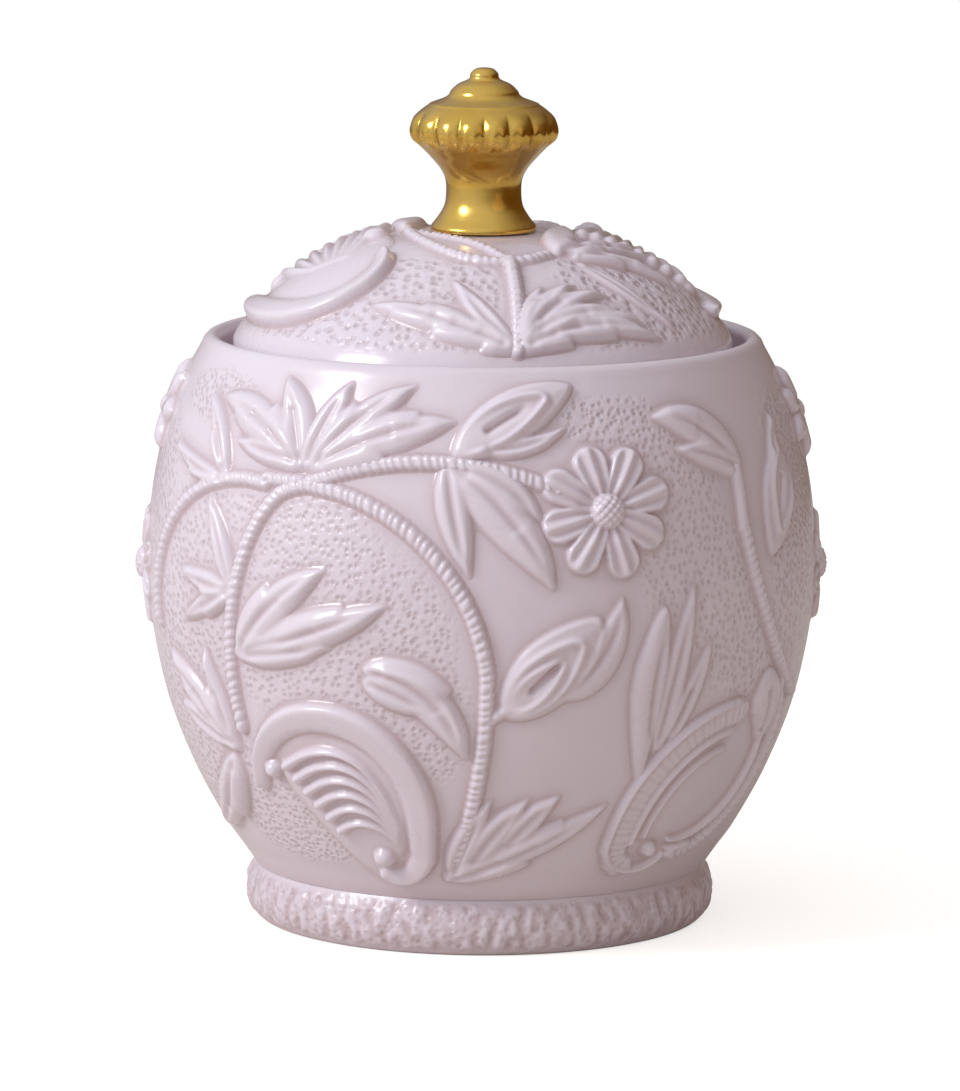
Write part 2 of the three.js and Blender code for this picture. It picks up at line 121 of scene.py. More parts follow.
def smooth_line(points, step):
    """A Catmull-Rom curve through the points, sampled about every step."""
    p = np.array(points, float)
    p = np.vstack([2 * p[0] - p[1], p, 2 * p[-1] - p[-2]])
    out = []
    for i in range(1, len(p) - 2):
        a, b, c, d = p[i - 1], p[i], p[i + 1], p[i + 2]
        count = max(2, int(np.ceil(np.linalg.norm(c - b) / step)))
        t = (np.arange(count) / count)[:, None]
        out.append(0.5 * (2 * b + (c - a) * t + (2 * a - 5 * b + 4 * c - d) * t**2
                          + (3 * b - a - 3 * c + d) * t**3))
    out.append(p[-2][None])
    return np.concatenate(out)


def smooth_loop(points, step):
    """The same kind of curve for a closed outline."""
    p = np.array(points, float)
    around = smooth_line(np.vstack([p[-2:], p, p[:3]]), step)
    first = np.argmin(np.linalg.norm(around - p[0], axis=1))
    last = len(around) - 1 - np.argmin(np.linalg.norm(around[::-1] - p[0], axis=1))
    return around[first:last + 1]


def line_normals(line):
    """Unit normals of a line, to its right when seen along it."""
    along = np.gradient(line, axis=0)
    along /= np.linalg.norm(along, axis=1)[:, None]
    return np.stack([along[:, 1], -along[:, 0]], 1)


def soft_step(low, high, x):
    t = np.clip((x - low) / (high - low), 0, 1)
    return t * t * (3 - 2 * t)


def box_blur(field, reach):
    """Mean over a square window, run along both axes."""
    out = field
    for axis in (0, 1):
        pad = [(0, 0), (0, 0)]
        pad[axis] = (reach + 1, reach)
        total = np.cumsum(np.pad(out, pad, mode="edge"), axis=axis)
        size = out.shape[axis]
        high = np.take(total, range(2 * reach + 1, 2 * reach + 1 + size), axis=axis)
        low = np.take(total, range(size), axis=axis)
        out = (high - low) / (2 * reach + 1)
    return out


def soften(field, passes):
    """Rounds off small steps, as a coat of glaze does."""
    for _ in range(passes):
        for axis in (0, 1):
            pad = [(0, 0), (0, 0)]
            pad[axis] = (1, 1)
            wide = np.pad(field, pad, mode="edge")
            size = field.shape[axis]
            before = np.take(wide, range(size), axis=axis)
            after = np.take(wide, range(2, size + 2), axis=axis)
            field = 0.5 * field + 0.25 * (before + after)
    return field


class Wall:
    """The jar's outer wall. Its chart keeps angles: x follows the turn, y the profile."""

    def __init__(self):
        self.line = smooth_line(WALL_POINTS, PROFILE_STEP)
        self.normal = line_normals(self.line)
        length = np.linalg.norm(np.diff(self.line, axis=0), axis=1)
        radius = (self.line[1:, 0] + self.line[:-1, 0]) / 2
        self.y = REFERENCE_RADIUS * np.concatenate([[0], np.cumsum(length / radius)])

    def chart(self, points):
        p = np.array(points, float).reshape(-1, 2)
        y = np.interp(p[:, 1], self.line[:, 1], self.y)
        return np.stack([np.radians(p[:, 0]) * REFERENCE_RADIUS, y], 1)

    def scale(self, x, y):
        return np.interp(y, self.y, self.line[:, 0]) / REFERENCE_RADIUS

    def place(self, x, y, lift):
        r = np.interp(y, self.y, self.line[:, 0]) + lift * np.interp(y, self.y, self.normal[:, 0])
        z = np.interp(y, self.y, self.line[:, 1]) + lift * np.interp(y, self.y, self.normal[:, 1])
        turn = x / REFERENCE_RADIUS
        return np.stack([r * np.sin(turn), -r * np.cos(turn), z], -1)


class Dome:
    """The lid's dome. Its chart keeps angles too: it is the plan, drawn out towards the rim."""

    def __init__(self):
        self.line = smooth_line(DOME_POINTS, PROFILE_STEP)
        self.normal = line_normals(self.line)
        length = np.linalg.norm(np.diff(self.line, axis=0), axis=1)
        radius = (self.line[1:, 0] + self.line[:-1, 0]) / 2
        depth = np.concatenate([[0], np.cumsum(length / radius)])
        self.rho = DOME_POINTS[0][0] * np.exp(-depth)

    def chart(self, points):
        p = np.array(points, float).reshape(-1, 2)
        r = np.maximum(np.hypot(p[:, 0], p[:, 1]), 0.01)
        rho = np.interp(r, self.line[::-1, 0], self.rho[::-1])
        return p * (rho / r)[:, None]

    def at(self, x, y, values):
        return np.interp(np.hypot(x, y), self.rho[::-1], values[::-1])

    def scale(self, x, y):
        return self.at(x, y, self.line[:, 0] / self.rho)

    def place(self, x, y, lift):
        rho = np.maximum(np.hypot(x, y), 0.01)
        r = self.at(x, y, self.line[:, 0]) + lift * self.at(x, y, self.normal[:, 0])
        z = self.at(x, y, self.line[:, 1]) + lift * self.at(x, y, self.normal[:, 1])
        return np.stack([r * x / rho, r * y / rho, z], -1)


WALL = Wall()
DOME = Dome()


# How a stroke's half-width runs from its start, 0, to its tip, 1.
FORMS = {
    "leaf": lambda a: (a**0.6 * (1 - a) ** 0.95) / 0.355,
    "bud": lambda a: np.sin(np.pi * np.clip(a, 0, 1) ** 0.85) ** 0.7,
    "petal": lambda a: np.clip(a / 0.55, 0, 1) ** 0.8 * np.clip((1 - a) / 0.3, 0, 1) ** 0.5,
    "fan": lambda a: 0.4 + 0.6 * a**0.6,
    "even": lambda a: np.ones_like(a),
    "taper": lambda a: 1 - 0.65 * a,
    "swell": lambda a: 0.45 + 0.55 * np.sin(np.pi * np.clip(a, 0, 1)) ** 0.8,
}


def round_section(t):
    return np.sqrt(np.maximum(1 - t * t, 0))


# How high a stroke stands across its width, where t is -1 and 1 at its edges.
SECTIONS = {
    "round": round_section,
    "flat": lambda t: np.sqrt(1 - t**6) * (1 - 0.12 * t * t),
    "tilted": lambda t: round_section(t * t) * (0.72 - 0.34 * t),
    "tilted_back": lambda t: round_section(t * t) * (0.72 + 0.34 * t),
}


class Relief:
    """Moulded ornament: a height above the ground, in millimetres, over a window of a chart."""

    def __init__(self, surface, low, high, grid, softness):
        self.surface = surface
        self.softness = softness
        self.grid = grid
        nx = int((high[0] - low[0]) / grid) + 2
        ny = int((high[1] - low[1]) / grid) + 2
        self.low = np.array(low, float)
        self.x, self.y = np.meshgrid(low[0] + grid * np.arange(nx), low[1] + grid * np.arange(ny))
        self.k = surface.scale(self.x, self.y)
        self.height = np.full(self.x.shape, EMPTY)

    def trace(self, line, reach):
        """Distance to the line, signed offset to its left, and share and length along it."""
        shape = self.x.shape
        near = np.full(shape, 1e3)
        side = np.zeros(shape)
        run = np.zeros(shape)
        real_run = np.zeros(shape)
        total = 0.0
        real = 0.0
        for a, b in zip(line[:-1], line[1:]):
            low = np.floor((np.minimum(a, b) - reach - self.low) / self.grid).astype(int)
            high = np.ceil((np.maximum(a, b) + reach - self.low) / self.grid).astype(int) + 1
            low = np.maximum(low, 0)
            window = (slice(low[1], max(high[1], 0)), slice(low[0], max(high[0], 0)))
            x = self.x[window] - a[0]
            y = self.y[window] - a[1]
            e = b - a
            length = max(float(np.hypot(*e)), 1e-6)
            if x.size:
                t = np.clip((x * e[0] + y * e[1]) / length**2, 0, 1)
                dx = x - t * e[0]
                dy = y - t * e[1]
                distance = np.hypot(dx, dy)
                closer = distance < near[window]
                offset = (e[0] * y - e[1] * x) / length
                near[window] = np.where(closer, distance, near[window])
                side[window] = np.where(closer, offset, side[window])
                run[window] = np.where(closer, total + t * length, run[window])
                step = t * length * self.k[window]
                real_run[window] = np.where(closer, real + step, real_run[window])
            total += length
            middle = (a + b) / 2
            real += length * float(self.surface.scale(middle[0], middle[1]))
        return near * self.k, side * self.k, run / total, real_run

    def join(self, height):
        """Takes the higher of two fields, with a slightly rounded valley between them."""
        both = self.height + height
        gap = self.height - height
        self.height = 0.5 * (both + np.sqrt(gap * gap + VALLEY))

    def stroke(self, points, width, height, form, section, lift, ribs=0.0, slant=0.0, ridges=0,
               furrow=0.0):
        """A petal, stem or roll along a line. width is its half-width. ribs and slant are the depth
        and lean of its beads, ridges and furrow the number and depth of its grooves."""
        height = height * PROUD
        line = smooth_line(points, STROKE_STEP)
        near, side, a, run = self.trace(line, 1.6 * width + 2.4)
        w = np.maximum(width * FORMS[form](np.clip(a, 0, 1)), 0.06)
        beat = (run + slant * side) / BEAD + 0.16 * np.sin(0.9 * run) + 0.1 * np.sin(2.3 * run)
        notch = (0.5 + 0.5 * np.cos(2 * np.pi * beat)) ** 3
        w = w * (1 - 0.3 * ribs * notch)
        inside = w - near
        t = np.clip(np.copysign(near, side) / w, -1, 1)
        top = EDGE + (height * lift(a) - EDGE) * SECTIONS[section](t)
        top = top - ribs * notch * round_section(t * t)
        if ridges:
            dip = 0.5 - 0.5 * np.cos(np.pi * ridges * side / w)
            top = top - furrow * dip * round_section(t) * soft_step(0, 0.3, a)
        self.join(np.where(inside > 0, top, skirt(-inside)))

    def enclosed(self, loop):
        """Which points of the window lie inside a closed line."""
        odd = np.zeros(self.x.shape, bool)
        rows_y = self.y[:, 0]
        for a, b in zip(loop[:-1], loop[1:]):
            first, last = np.searchsorted(rows_y, sorted((a[1], b[1])))
            if last > first:
                slope = (b[0] - a[0]) / (b[1] - a[1])
                odd[first:last] ^= self.x[first:last] < a[0] + slope * (self.y[first:last] - a[1])
        return odd

    def pad(self, loop, reach, height):
        """A pillow inside a closed line. It goes on rising until it is reach in from its edge."""
        near = self.trace(loop, reach + 2.4)[0]
        rise = 1 - (1 - np.clip(near / reach, 0, 1)) ** 2
        top = EDGE + (height * PROUD - EDGE) * np.sqrt(rise)
        self.join(np.where(self.enclosed(loop), top, skirt(near)))

    def panel(self, points, reach, height):
        self.pad(smooth_loop(points, STROKE_STEP), reach, height)

    def rib(self, points, width, rise):
        """A soft line raised on what is there already, or cut into it when rise is below nought."""
        line = smooth_line(points, STROKE_STEP)
        near, _, share, _ = self.trace(line, 3 * width)
        fade = soft_step(0, 0.1, share) * soft_step(1, 0.65, share)
        there = soft_step(-0.1, 0.3, self.height)
        self.height = self.height + rise * fade * there * np.exp(-((near / width) ** 2))

    def sides(self, line, width, form, lobes):
        """Both edges of a blade along a line, notched behind each pointed lobe, and its outline."""
        share = np.linspace(0, 1, len(line))
        across = line_normals(line) / self.surface.scale(line[:, 0], line[:, 1])[:, None]
        half = np.maximum(width * FORMS[form](share), 0.05)
        edges = []
        for side, start in zip((1, -1), LOBE_STARTS):
            forward = (share * lobes + start) % 1 if lobes else np.ones_like(share)
            tooth = 1 - LOBE_DEPTH * (1 - forward) ** 1.6
            edges.append(line + side * across * (half * tooth)[:, None])
        return edges, np.concatenate([edges[0], edges[1][::-1], edges[0][:1]])

    def leaf(self, points, width, height, lobes):
        """A lobed blade with a creased middle and a soft ridge out into every lobe."""
        line = smooth_line(points, STROKE_STEP)
        edges, loop = self.sides(line, width, "leaf", lobes)
        self.pad(loop, 0.75 * width, height)
        last = len(line) - 1
        for edge, start in zip(edges, LOBE_STARTS):
            for number in range(1, lobes + 1):
                tip = int(last * min((number - start) / lobes, 0.97))
                root = int(last * max((number - start) / lobes - 0.42, 0.02))
                end = line[tip] + 0.85 * (edge[tip] - line[tip])
                middle = 0.5 * (line[root] + end) + 0.12 * (edge[tip] - line[tip])
                self.rib(np.array([line[root], middle, end]), 0.3 * width + 0.2, 0.3)
        self.rib(line[:: max(1, last // 6)], 0.6, -0.7)

    def bud(self, points, width, height, folds):
        """A pointed bud wrapped in folds, with a cut down its opening."""
        line = smooth_line(points, STROKE_STEP)
        for fold in range(folds + 1):
            size = 1 - 0.3 * fold
            count = int(len(line) * (1 - 0.2 * fold))
            _, loop = self.sides(line[fold * 2:count], width * size, "bud", 0)
            if fold == 0:
                self.pad(loop, 0.6 * width, height)
            self.rib(loop[::4], 0.5, 0.7 if fold else 0.35)
        if folds:
            self.rib(line[len(line) // 4:int(0.7 * len(line)):4], 0.55, -1.0)

    def ball(self, points, radius, height, hatch=0.0):
        """A round boss. With hatch, its top is crossed by fine lines."""
        c = points[0]
        k = self.surface.scale(c[0], c[1])
        x = (self.x - c[0]) * k
        y = (self.y - c[1]) * k
        near = np.hypot(x, y)
        t = np.clip(near / radius, 0, 1)
        top = EDGE + (height * PROUD - EDGE) * np.sqrt(1 - t**2.4)
        if hatch:
            u = (x + y) * 0.7071
            v = (x - y) * 0.7071
            knobs = np.abs(np.sin(np.pi * u / 0.95) * np.sin(np.pi * v / 0.95))
            top = top + hatch * (np.sqrt(knobs) - 0.6) * soft_step(1, 0.85, t)
        self.join(np.where(near < radius, top, skirt(near - radius)))

    def mesh(self, name):
        """A closed mesh of the part that stands proud, with its underside sunk in the wall."""
        self.height = soften(np.maximum(self.height, FIELD_FLOOR), self.softness)
        h = np.maximum(self.height, MESH_FLOOR)
        high = np.maximum.reduce([self.height[:-1, :-1], self.height[1:, :-1],
                                  self.height[:-1, 1:], self.height[1:, 1:]])
        keep = high > -TUCK
        keep[0] = keep[-1] = False
        keep[:, 0] = keep[:, -1] = False
        used = np.zeros(h.shape, bool)
        for dy in (0, 1):
            for dx in (0, 1):
                used[dy:dy + keep.shape[0], dx:dx + keep.shape[1]] |= keep
        index = np.full(h.shape, -1)
        count = int(used.sum())
        index[used] = np.arange(count)
        rows, cols = np.nonzero(keep)
        a = index[rows, cols]
        b = index[rows, cols + 1]
        c = index[rows + 1, cols + 1]
        d = index[rows + 1, cols]
        quads = [np.stack([a, b, c, d], 1), np.stack([d, c, b, a], 1) + count]
        padded = np.pad(keep, 1)
        for dr, dc, first, last in ((-1, 0, a, b), (0, 1, b, c), (1, 0, c, d), (0, -1, d, a)):
            open_side = ~padded[rows + 1 + dr, cols + 1 + dc]
            p = first[open_side]
            q = last[open_side]
            quads.append(np.stack([q, p, p + count, q + count], 1))
        ux = self.x[used]
        uy = self.y[used]
        points = np.concatenate([self.surface.place(ux, uy, h[used]),
                                 self.surface.place(ux, uy, np.full(count, SUNK))])
        # Painted shade in creases, near the ground and on the sunk underside; paler on raised parts.
        wide = box_blur(np.maximum(h, 0), 4)
        crease = np.clip((wide - h) / 0.4, 0, 1)
        lift = np.clip((h - wide) / 0.7 + 0.25 * np.clip(h / 2, 0, 1), 0, 1)
        low = soft_step(0.5, 0.0, h)
        painted_shade = np.clip(crease + 0.6 * low, 0, 1)
        values = {"painted_shade": np.concatenate([painted_shade[used], np.ones(count)]),
                  "raised": np.concatenate([lift[used], np.zeros(count)])}
        return mesh_object(name, points, np.concatenate(quads), values)


def skirt(out):
    """The fillet round a form: it runs down to the ground, and falls away beyond its own width."""
    fillet = (EDGE + TUCK) * np.maximum(1 - out / FILLET, 0) ** 2 - TUCK
    return fillet - 1.2 * np.maximum(out - FILLET, 0)


def put(name, data):
    """Puts an object in the scene."""
    made = bpy.data.objects.new(name, data)
    bpy.context.scene.collection.objects.link(made)
    return made


def mesh_object(name, points, quads, values):
    """A mesh object from points in millimetres, four-sided faces and one number per point and name."""
    mesh = bpy.data.meshes.new(name)
    mesh.vertices.add(len(points))
    mesh.vertices.foreach_set("co", (points * MM).astype(np.float32).ravel())
    mesh.loops.add(4 * len(quads))
    mesh.loops.foreach_set("vertex_index", quads.astype(np.int32).ravel())
    mesh.polygons.add(len(quads))
    mesh.polygons.foreach_set("loop_start", np.arange(0, 4 * len(quads), 4, dtype=np.int32))
    mesh.polygons.foreach_set("loop_total", np.full(len(quads), 4, np.int32))
    mesh.polygons.foreach_set("use_smooth", np.full(len(quads), True))
    mesh.update(calc_edges=True)
    mesh.validate()
    for key, value in values.items():
        attribute = mesh.attributes.new(key, "FLOAT", "POINT")
        attribute.data.foreach_set("value", np.asarray(value, np.float32))
    return put(name, mesh)


def turns_round(segments):
    """The angles of the points round a turned piece, from 0 at the front."""
    return 2 * np.pi * np.arange(segments) / segments


def either_way(turns):
    """The same angles, as up to half a turn either way from the front."""
    return (turns + np.pi) % (2 * np.pi) - np.pi


def face_degrees(turns):
    """Degrees from the middle of the front or of the back, whichever is nearer."""
    return (np.degrees(turns) + 90) % 180 - 90


def lathe(name, line, segments, values, shift=None):
    """A solid of revolution. line runs with the solid on its left. values are given per line point,
    or per point and angle as shift is, which moves the points outwards."""
    line = np.asarray(line, float)
    turn = turns_round(segments)
    normal = line_normals(line)
    out = np.zeros((len(line), segments)) if shift is None else shift
    r = np.maximum(line[:, :1] + normal[:, :1] * out, 0.0)
    z = line[:, 1:] + normal[:, 1:] * out
    points = np.stack([r * np.sin(turn), -r * np.cos(turn), z + 0 * r * turn], -1).reshape(-1, 3)
    grid = np.arange(len(line) * segments).reshape(len(line), segments)
    now = grid[:-1]
    after = grid[1:]
    quads = np.stack([now, np.roll(now, -1, 1), np.roll(after, -1, 1), after], -1).reshape(-1, 4)
    full = {k: np.broadcast_to(np.reshape(v, (len(line), -1)), (len(line), segments)).ravel()
            for k, v in values.items()}
    return mesh_object(name, points, quads, full)


def ripple_field(heights, segments, waves, seed):
    """A gentle, repeatable unevenness: a sum of waves round and up the piece."""
    rng = np.random.default_rng(seed)
    turn = turns_round(segments)
    out = np.zeros((len(heights), segments))
    for _ in range(waves):
        round_count = rng.integers(20, 120)
        rise = rng.uniform(-1.2, 1.2)
        phase = rng.uniform(0, 2 * np.pi)
        out += np.sin(round_count * turn[None] + rise * heights[:, None] + phase)
    return out / math.sqrt(waves)


# ---- The sprigs ----
# Settings of strokes. lift is the height along a stroke, where a runs from 0 to 1.
LEVEL = {"lift": lambda a: 1 + 0 * a}
ROPE = LEVEL | {"form": "even", "section": "flat", "ribs": 0.42, "slant": 0.3}
FALLING = {"form": "taper", "section": "round", "lift": lambda a: 1 - 0.45 * soft_step(0.3, 1, a)}
ROUNDED = {"form": "petal", "section": "round",
           "lift": lambda a: soft_step(-0.15, 0.35, a) * (1 - 0.45 * soft_step(0.75, 1.0, a))}


def arc(middle, radii, start, end):
    """Part of an ellipse. Angles are in degrees, anticlockwise from the right."""
    turn = np.radians(np.linspace(start, end, 12))
    return np.stack([middle[0] + radii[0] * np.cos(turn), middle[1] + radii[1] * np.sin(turn)], 1)


def bowed(start, end, bow=0.0):
    """A line from one place to another that bows out to its left."""
    start = np.array(start, float)
    way = np.array(end, float) - start
    left = np.array([-way[1], way[0]]) / np.hypot(*way)
    t = np.linspace(0, 1, 7)[:, None]
    return start + way * t + left * bow * 4 * t * (1 - t)


def between(first, last, share):
    return np.array(first, float) * (1 - share) + np.array(last, float) * share


# A part of a sprig: what is moulded, the places that it follows, and its settings.
def rope(line, width=1.05, height=1.75):
    return "stroke", line, ROPE | {"width": width, "height": height}


def roll(line, width, height, form="swell", section="round", ribs=0.0):
    return "stroke", line, LEVEL | {"width": width, "height": height, "form": form, "section": section,
                                    "ribs": ribs}


def leaf(root, tip, width, bow=0.0, lobes=2, height=2.0):
    return "leaf", bowed(root, tip, bow), {"width": width, "height": height, "lobes": lobes}


def bud(root, tip, width, bow=0.0, folds=2, height=1.7):
    return "bud", bowed(root, tip, bow), {"width": width, "height": height, "folds": folds}


def lobe(root, tip, width, height=2.1, bow=0.0):
    return "stroke", bowed(root, tip, bow), ROUNDED | {"width": width, "height": height}


def ball(centre, radius, height, hatch=0.0):
    return "ball", np.array([centre], float), {"radius": radius, "height": height, "hatch": hatch}


def panel(line, reach, height):
    return "panel", line, {"reach": reach, "height": height}


def rib(line, width, rise):
    return "rib", line, {"width": width, "rise": rise}


def flutes(first, last, count, width, height):
    """Nested or fanned flutes. first and last each give a start, an end and a bow."""
    parts = []
    for share in np.linspace(0, 1, count):
        line = bowed(between(first[0], last[0], share), between(first[1], last[1], share),
                     first[2] + (last[2] - first[2]) * share)
        parts.append(("stroke", line, FALLING | {"width": width, "height": height}))
    return parts


def daisy(centre, radii, petals, width, height):
    """Ridged petals round a hatched disc, every second one a little higher."""
    parts = []
    for number in range(petals):
        turn = math.tau * (number + 0.35) / petals
        reach = 1 + 0.05 * math.sin(3 * turn)
        way = np.array([radii[0] * math.cos(turn), radii[1] * math.sin(turn)]) * reach
        parts.append(("stroke", bowed(centre + way * 0.2, centre + way), {
            "width": width, "height": height + 0.3 * (number % 2), "form": "fan", "section": "flat",
            "ridges": 2.2, "furrow": 0.75, "lift": lambda a: 0.45 + 0.55 * soft_step(0, 0.6, a)}))
    parts.append(ball(centre, 2.8, height + 1.5, 0.5))
    return parts


def rosette(centre, radii, lobes, width, height):
    """Pointed lobes round a small boss."""
    parts = [ball(centre, 1.9, height + 0.5)]
    for turn in np.arange(lobes) * math.tau / lobes:
        tip = (centre[0] + radii[0] * math.cos(turn), centre[1] + radii[1] * math.sin(turn))
        parts.append(lobe(centre, tip, width, height))
    return parts


# Places on the jar are an angle from the front and a height, as in the CAD.
SPRIGS = {
    "vine_loop": [rope(np.concatenate([arc((-16, 45), (17, 37), -50, 5),
                                       arc((-32, 45), (33, 30.5), 15, 90),
                                       arc((-32, 42), (15.5, 33.5), 105, 190)]))],
    "vine_top_right": [rope(bowed((-31, 76), (13, 76), 4))],
    "vine_top_left": [
        rope(np.concatenate([bowed((-33, 76), (-40, 76)), arc((-44, 52), (28, 23.5), 82, 185)]), 0.95),
        leaf((-50, 75), (-61, 87), 2.0, -1, 1), leaf((-50, 75), (-70, 79), 1.6, 1, 1)],
    "vine_right": [
        roll(bowed((50, 77), (50, 68)), 1.1, 1.7, "even"), rope(bowed((50, 69), (73, 39), -4.5))],
    "leaf_top_centre": [
        leaf((-31, 78), (-5, 86), 4.2, 1.5, 2), leaf((-31, 78), (-13, 91), 3.2, 1.5, 1),
        leaf((-32, 78), (-26, 91), 2.4, 0.5, 0)],
    "leaf_top_mid": [
        leaf((-33, 78), (-57, 87), 3.8, -2, 2), leaf((-33, 78), (-41, 91), 3.4, -1, 1),
        leaf((-34, 79), (-49, 81), 1.8, 0, 0)],
    "leaf_hanging": [
        leaf((-6, 80), (-2, 63), 2.5, -0.5, 0), leaf((-6, 80), (12, 61), 4.6, 2, 1, 2.2),
        leaf((-4, 79), (10, 71.5), 2.4, 1.5, 0)],
    "leaf_inner_left": [
        leaf((-46, 48), (-16, 58), 4.0, -0.5, 2), leaf((-45, 48), (-27, 63), 3.6, 1.5, 1),
        leaf((-44, 48), (-26, 51), 2.2, 0, 0)],
    "leaf_inner_small": [
        leaf((-20, 48), (-2.5, 34), 3.8, 3.5, 1), leaf((-20, 46), (-8, 41), 2.6, 0.5, 0),
        rib(bowed((-20, 48), (-2.5, 34), 5.5), 0.6, 0.5)],
    "leaf_bottom": [
        leaf((-8, 13), (25, 25.5), 3.4, -1, 2), leaf((-6, 14), (2, 27), 2.2, 0.5, 0),
        leaf((-2, 16), (9, 27), 2.4, 0.5, 0), leaf((5, 19), (15, 27.5), 2.2, 0.5, 0)],
    "leaf_left_pair": [
        leaf((-46, 58), (-54, 72), 1.8, -0.5, 0), leaf((-46, 58), (-61, 60), 2.1, 0.5, 1),
        leaf((-46, 58), (-60, 52), 2.0, 0, 1)],
    "leaf_left_low": [
        leaf((-50, 32), (-55, 48), 2.2, 0, 1), leaf((-50, 32), (-68, 46), 3.0, -1, 2),
        leaf((-51, 33), (-67, 38), 2.2, 0, 0), leaf((-52, 31), (-71, 17), 3.8, 2, 1, 2.3)],
    "leaf_right_spray": [
        leaf((34, 34), (42, 51), 2.2, -0.5, 1, 1.1), leaf((33, 34), (38, 60), 2.2, 0.5, 0, 1.4),
        lobe((31, 28), (32, 57), 2.9, 2.2, 2), rib(bowed((31, 36), (32.5, 55), 1.2), 0.6, -0.8)],
    "leaf_right_top": [leaf((51, 76), (33, 86), 4.2, -2.5, 1), leaf((51, 77), (37, 81), 2.0, -0.5, 0)],
    "leaf_side_cluster": rosette((89, 82), (10, 7.2), 7, 2.0, 2.2),
    "bud_top": [bud((-5, 81), (17, 91), 3.9, 1, 1, 1.8), leaf((0, 82), (15, 85), 1.3, -1, 0)],
    "bud_right": [
        rope(bowed((1, 40), (6, 43)), 0.8, 1.5), leaf((14, 44), (24, 59), 3.2, -2, 0, 1.5),
        bud((4, 41), (20, 56), 5.0, 0, 2, 1.7)],
    "bud_right_edge": [leaf((60, 72), (66, 84), 1.6, 0, 0, 1.5), bud((66, 79), (58, 63), 4.6, 0, 1, 1.5)],
    "scroll_left": [
        panel(arc((-27, 24), (12.5, 11.5), 160, -75), 4.0, 0.7),
        roll(np.concatenate([arc((-29, 23), (17.5, 16.5), 165, -8),
                             arc((-18.2, 19.3), (6.6, 6), -20, -115)]), 2.6, 2.7, "swell", "tilted_back"),
        *flutes(((-38, 31), (-16, 22), 7.5), ((-29, 21), (-17, 19), 2.5), 6, 0.9, 2.5),
        ball((-41.5, 30), 1.4, 2.8), ball((-20.6, 16.8), 1.75, 3.3)],
    "scroll_right": [
        roll(np.concatenate([arc((53, 18), (23, 20.5), 90, 180), arc((35, 17.5), (5, 3.5), 190, 250)]),
             2.0, 1.4, "even", "flat", 0.25),
        roll(np.concatenate([arc((53, 18), (25.8, 22.3), 93, 180), arc((36, 18), (8.5, 4.3), 195, 330)]),
             0.65, 2.2),
        roll(arc((53, 18), (20, 17.8), 97, 178), 0.6, 1.9, "even"),
        roll(arc((53, 18), (17, 15), 100, 175), 0.4, 1.6, "even"),
        roll(arc((45, 31), (17, 13), 25, -95), 0.7, 1.7),
        rope(arc((45, 33), (21.5, 17.5), 15, -90), 0.95, 2.2),
        lobe((62, 32), (60, 44.5), 4.0, 2.4), rib(bowed((61, 34), (59, 43), -1), 0.8, -1.0),
        leaf((65, 33), (66, 43), 1.8, 0, 0, 2.0),
        ball((38.8, 17), 1.3, 2.6), lobe((43.5, 16.5), (52, 17), 1.1, 2.0)],
    "daisy": daisy(np.array([21.5, 72.5]), (9.0, 7.6), 8, 2.75, 2.0),
    "daisy_side": daisy(np.array([-88.0, 57.0]), (7, 7.2), 8, 2.2, 1.3),
}

# Places on the lid are in plan: x to the right, y away from the front.
LID_SPRIGS = {
    "lid_vine": [
        rope(bowed((-11, -4), (4, -21.5)), 0.75, 1.3),
        rope(arc((2, 2), (14, 24), 170, 305), 0.9, 1.5),
        rope(bowed((4, -21), (5.5, -38), 0.4), 1.0, 1.9)],
    "lid_scroll": [
        panel(arc((-24.5, -8), (10, 12), 0, 340), 4.0, 0.7),
        roll(np.concatenate([arc((-21.5, 1), (14.5, 23.5), 172, 270),
                             arc((-21, -16.5), (5.5, 6), 290, 370)]), 2.7, 3.2, "swell", "tilted"),
        *flutes(((-31, 2.5), (-26.5, -9), -0.8), ((-15.5, 4), (-21.5, -11), 0.8), 8, 1.25, 2.3),
        ball((-17, -4.5), 2.2, 3.0), ball((-32.3, 2), 1.7, 1.8)],
    "lid_leaf_left": [
        leaf((5, -38), (-4.5, -26.5), 1.6, 0.8, 0, 1.6), leaf((5, -38), (-17, -27.5), 3.2, 1, 3, 1.6)],
    "lid_leaf_right": [
        leaf((6, -38), (9, -27), 1.8, 0.5, 0), leaf((6, -38), (14, -24.5), 2.2, 1, 1),
        leaf((6, -38), (19, -24), 2.4, 1.5, 1), leaf((6, -38), (25, -25.5), 2.6, 1.5, 2),
        leaf((6, -38), (27.5, -26), 3.0, 0.5, 3)],
    "lid_bud": [
        bud((11.5, -17), (12.5, -0.5), 2.7, 0, 0, 2.4), leaf((13, -16), (24, -4.5), 2.6, 0.5, 2),
        leaf((14, -17), (30, -9), 2.0, 1, 2), leaf((19, -9), (28, 1), 1.9, 0, 1),
        leaf((15, -18), (30, -21.5), 1.2, -1, 0, 1.4)],
}


reliefs = []


def build_sprigs(surface, sprigs, body):
    """Moulds each sprig once and puts it on the front and, half a turn round, on the back."""
    made = []
    for name, parts in sprigs.items():
        drawn = [(kind, surface.chart(line), settings) for kind, line, settings in parts]
        spread = np.concatenate([line for _, line, _ in drawn])
        softness = 1 if "vine" in name or "daisy" in name else 2
        grid = FINE_GRID if "daisy" in name else GRID
        relief = Relief(surface, spread.min(0) - MARGIN, spread.max(0) + MARGIN, grid, softness)
        for kind, line, settings in drawn:
            getattr(relief, kind)(line, **settings)
        front = relief.mesh(name + "_front_relief")
        back = put(name + "_back_relief", front.data.copy())
        back.data.transform(Matrix.Diagonal((-1, -1, 1, 1)))
        back.data.update()
        for piece, side in ((front, "front"), (back, "back")):
            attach(piece, body)
            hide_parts(f"{name}_{side}")
            made.append(piece)
        reliefs.append((surface, relief))
    return made


